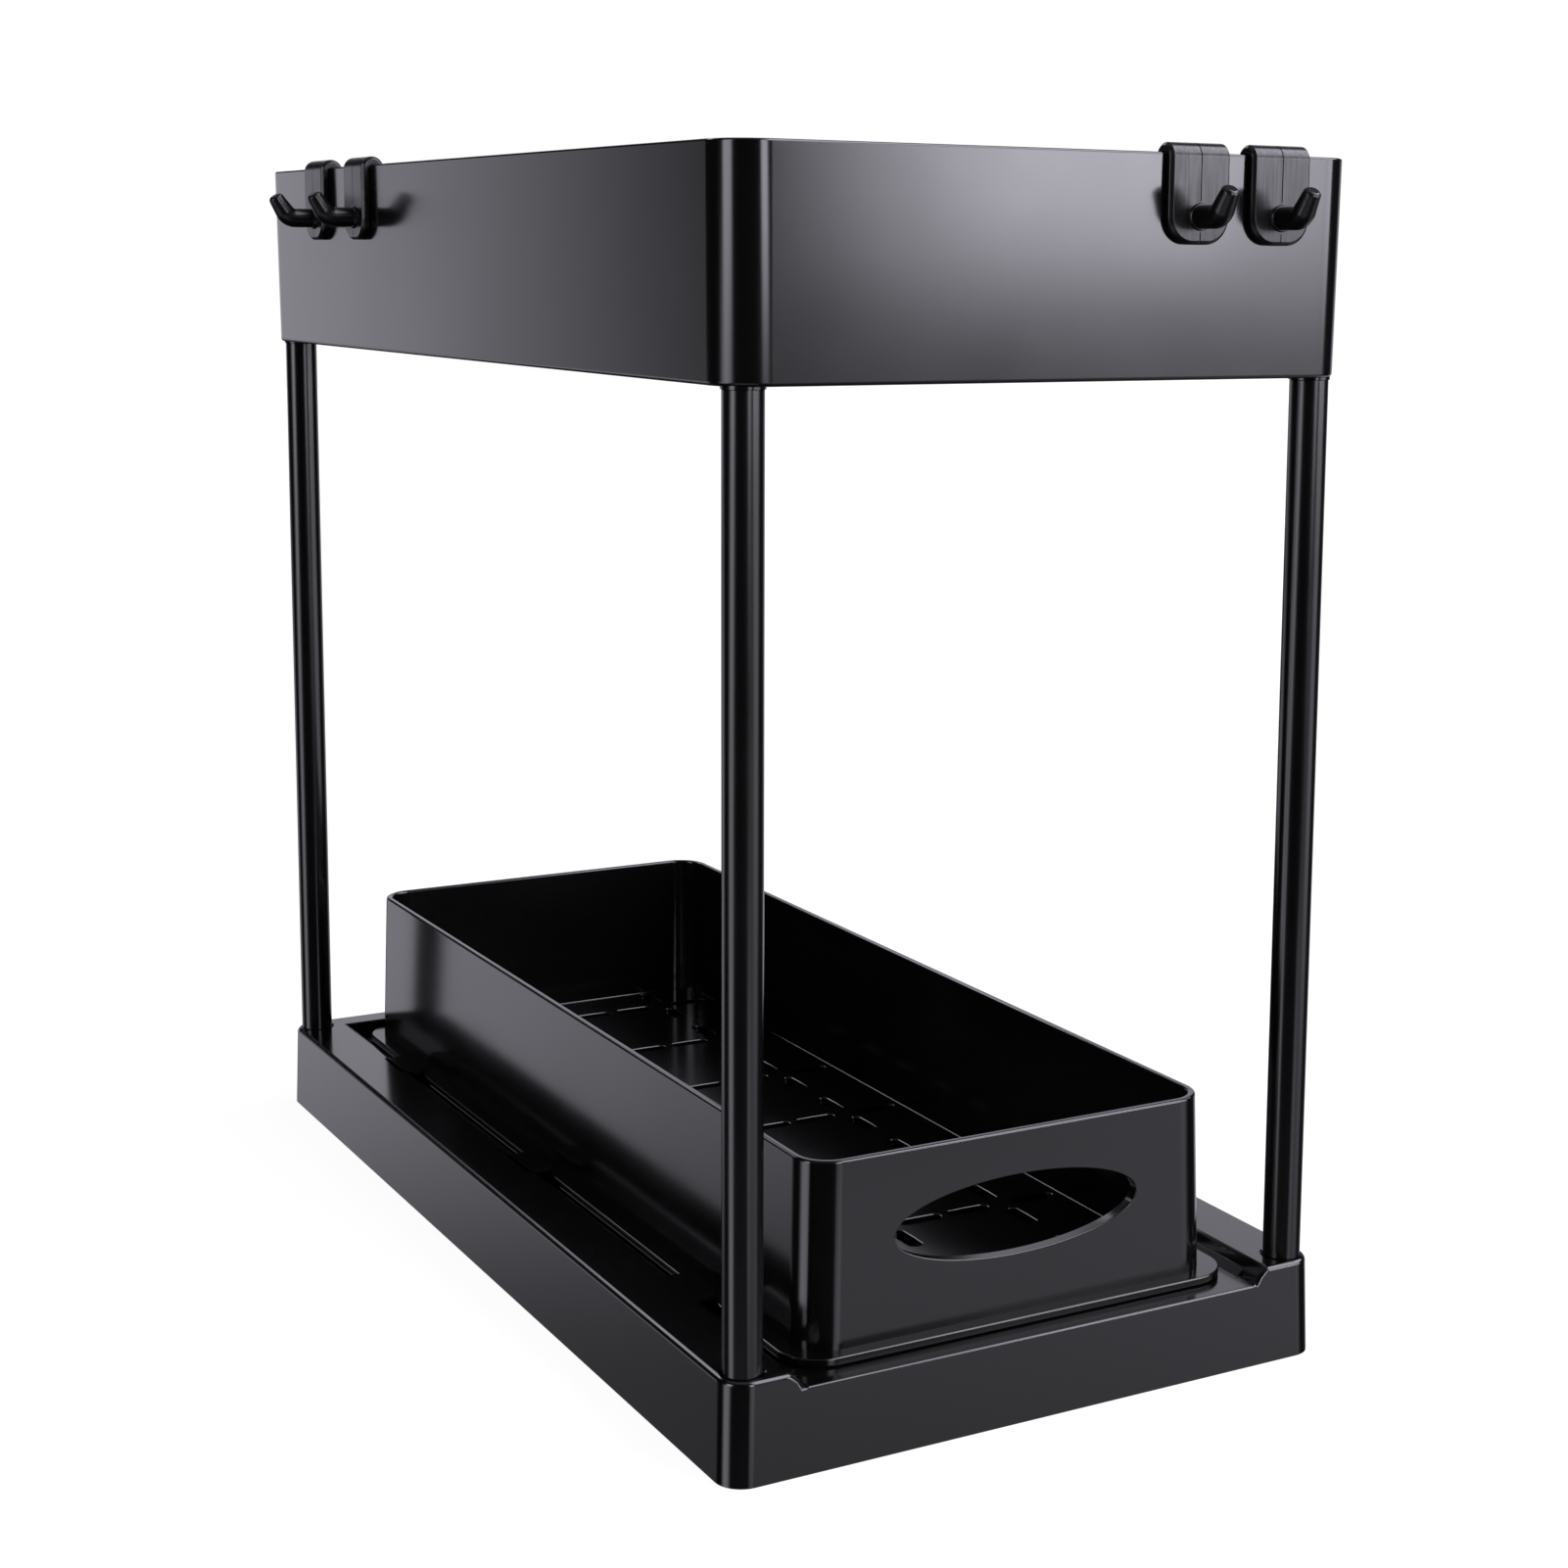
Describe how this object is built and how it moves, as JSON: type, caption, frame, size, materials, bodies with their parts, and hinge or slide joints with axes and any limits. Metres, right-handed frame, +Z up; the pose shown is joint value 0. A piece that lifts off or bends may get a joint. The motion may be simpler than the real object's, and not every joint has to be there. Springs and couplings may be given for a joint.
{
  "type": "under sink organizer",
  "caption": "Two-tier organizer with a sliding drawer on a ribbed base, an open upper tray on round posts, and hooks that clip over the tray's rim.",
  "frame": {"origin": "middle of the plane that the foot pads stand on, under the centre of the base", "axes": "+X across the width to the right seen from the front, -Y towards the front where the drawer pulls out, +Z up"},
  "size_m": [0.2328, 0.4338, 0.3829],
  "materials": {
    "body_plastic": "black polypropylene, satin moulded skin",
    "post_plastic": "black extruded tube, satin",
    "hook_plastic": "black ABS, semi-gloss with fine vertical tool marks",
    "pad_rubber": "matt black rubber"
  },
  "bodies": {
    "frame": {"base": "body_plastic", "upper_tray": "body_plastic", "post_front_left": "post_plastic", "post_front_right": "post_plastic", "post_back_left": "post_plastic", "post_back_right": "post_plastic", "foot_pad_front_left": "pad_rubber", "foot_pad_front_right": "pad_rubber", "foot_pad_back_left": "pad_rubber", "foot_pad_back_right": "pad_rubber"},
    "drawer": {"drawer": "body_plastic"},
    "hook_front_inner": {"hook_front_inner": "hook_plastic"},
    "hook_front_outer": {"hook_front_outer": "hook_plastic"},
    "hook_side_front": {"hook_side_front": "hook_plastic"},
    "hook_side_back": {"hook_side_back": "hook_plastic"}
  },
  "joints": [
    {"name": "drawer_slide", "type": "slide", "parent": "frame", "child": "drawer", "axis": [0, -1, 0], "range_m": [0, 0.24]},
    {"name": "hook_front_inner_slide", "type": "slide", "parent": "frame", "child": "hook_front_inner", "axis": [1, 0, 0], "range_m": [-0.126, 0]},
    {"name": "hook_front_outer_slide", "type": "slide", "parent": "frame", "child": "hook_front_outer", "axis": [1, 0, 0], "range_m": [-0.0075, 0.0065]},
    {"name": "hook_side_front_slide", "type": "slide", "parent": "frame", "child": "hook_side_front", "axis": [0, 1, 0], "range_m": [-0.27, 0]},
    {"name": "hook_side_back_slide", "type": "slide", "parent": "frame", "child": "hook_side_back", "axis": [0, 1, 0], "range_m": [-0.024, 0.043]}
  ]
}
